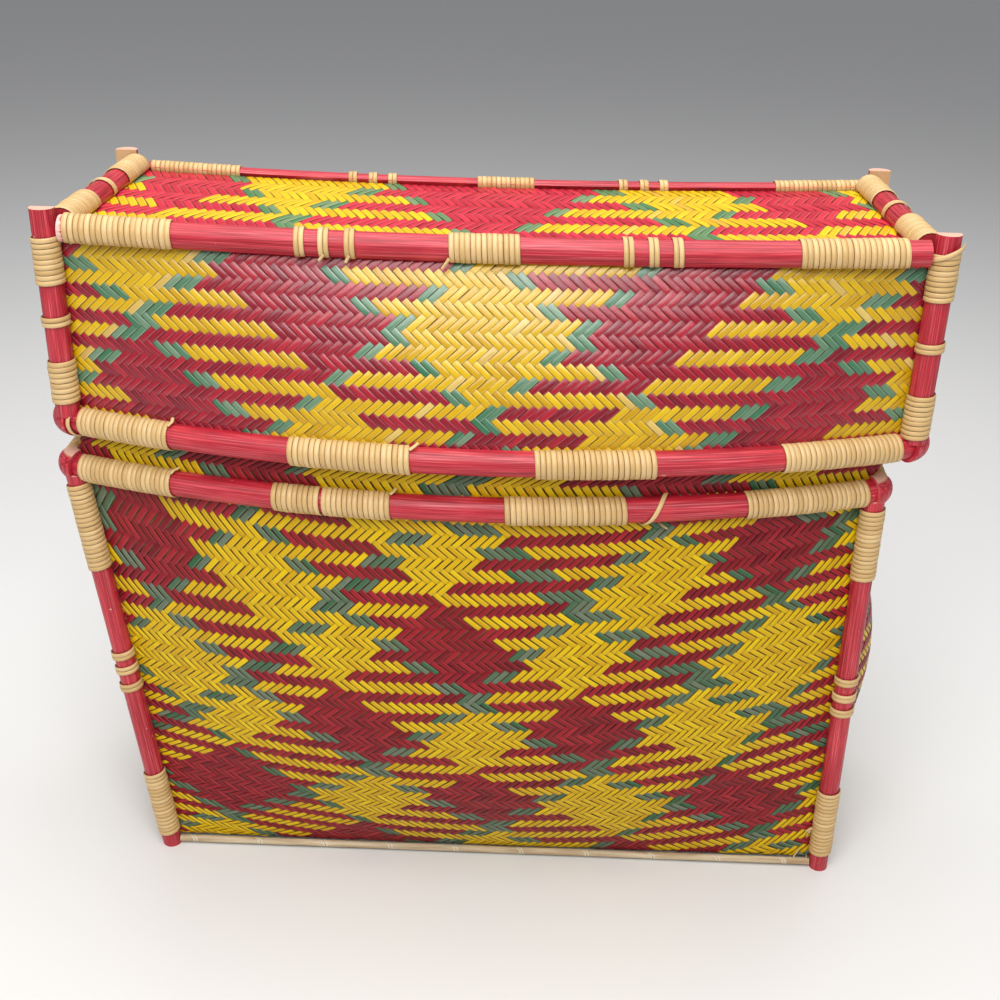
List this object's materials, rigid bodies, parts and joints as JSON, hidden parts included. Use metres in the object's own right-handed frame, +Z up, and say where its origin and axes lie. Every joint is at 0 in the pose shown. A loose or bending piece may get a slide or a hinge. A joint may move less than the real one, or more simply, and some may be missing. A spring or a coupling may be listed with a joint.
{
  "type": "lidded woven basket",
  "caption": "Upright rectangular plaited basket with a lift-off lid over a woven neck, framed by red split poles bound with pale cane.",
  "frame": {"origin": "middle of the footprint on the floor, under the feet", "axes": "+Z up, +X to the right along the long side, the front face looks along -Y"},
  "size_m": [0.4277, 0.2122, 0.364],
  "materials": {
    "basket_plaited_strips": "dyed plaited strips in yellow, red and green, satin",
    "lid_plaited_strips": "dyed plaited strips in yellow, red and green, satin",
    "lacquered_pole": "worn red lacquer over split poles, satin",
    "cane": "bare split cane, satin",
    "bare_rod": "bare thin rod, matt"
  },
  "bodies": {
    "basket": {"body_weave": "basket_plaited_strips", "body_rim_hoop": "lacquered_pole", "body_post_front_left": "lacquered_pole", "body_post_front_right": "lacquered_pole", "body_post_back_left": "lacquered_pole", "body_post_back_right": "lacquered_pole", "body_post_binding_front_left": "cane", "body_post_binding_front_right": "cane", "body_post_binding_back_left": "cane", "body_post_binding_back_right": "cane", "body_rim_binding_front": "cane", "body_rim_binding_right": "cane", "body_rim_binding_back": "cane", "body_rim_binding_left": "cane", "base_rod_front": "bare_rod", "base_rod_right": "bare_rod", "base_rod_back": "bare_rod", "base_rod_left": "bare_rod"},
    "lid": {"lid_weave": "lid_plaited_strips", "lid_rim_hoop": "lacquered_pole", "lid_post_front_left": "lacquered_pole", "lid_post_front_right": "lacquered_pole", "lid_post_back_left": "lacquered_pole", "lid_post_back_right": "lacquered_pole", "lid_post_binding_front_left": "cane", "lid_post_binding_front_right": "cane", "lid_post_binding_back_left": "cane", "lid_post_binding_back_right": "cane", "lid_top_rail_front": "lacquered_pole", "lid_top_rail_right": "lacquered_pole", "lid_top_rail_back": "lacquered_pole", "lid_top_rail_left": "lacquered_pole", "lid_top_binding_front": "cane", "lid_top_binding_right": "cane", "lid_top_binding_back": "cane", "lid_top_binding_left": "cane", "lid_rim_binding_front": "cane", "lid_rim_binding_right": "cane", "lid_rim_binding_back": "cane", "lid_rim_binding_left": "cane"}
  },
  "joints": [
    {"name": "lid_lift", "type": "slide", "parent": "basket", "child": "lid", "axis": [0, 0, 1], "range_m": [0, 0.12]}
  ]
}
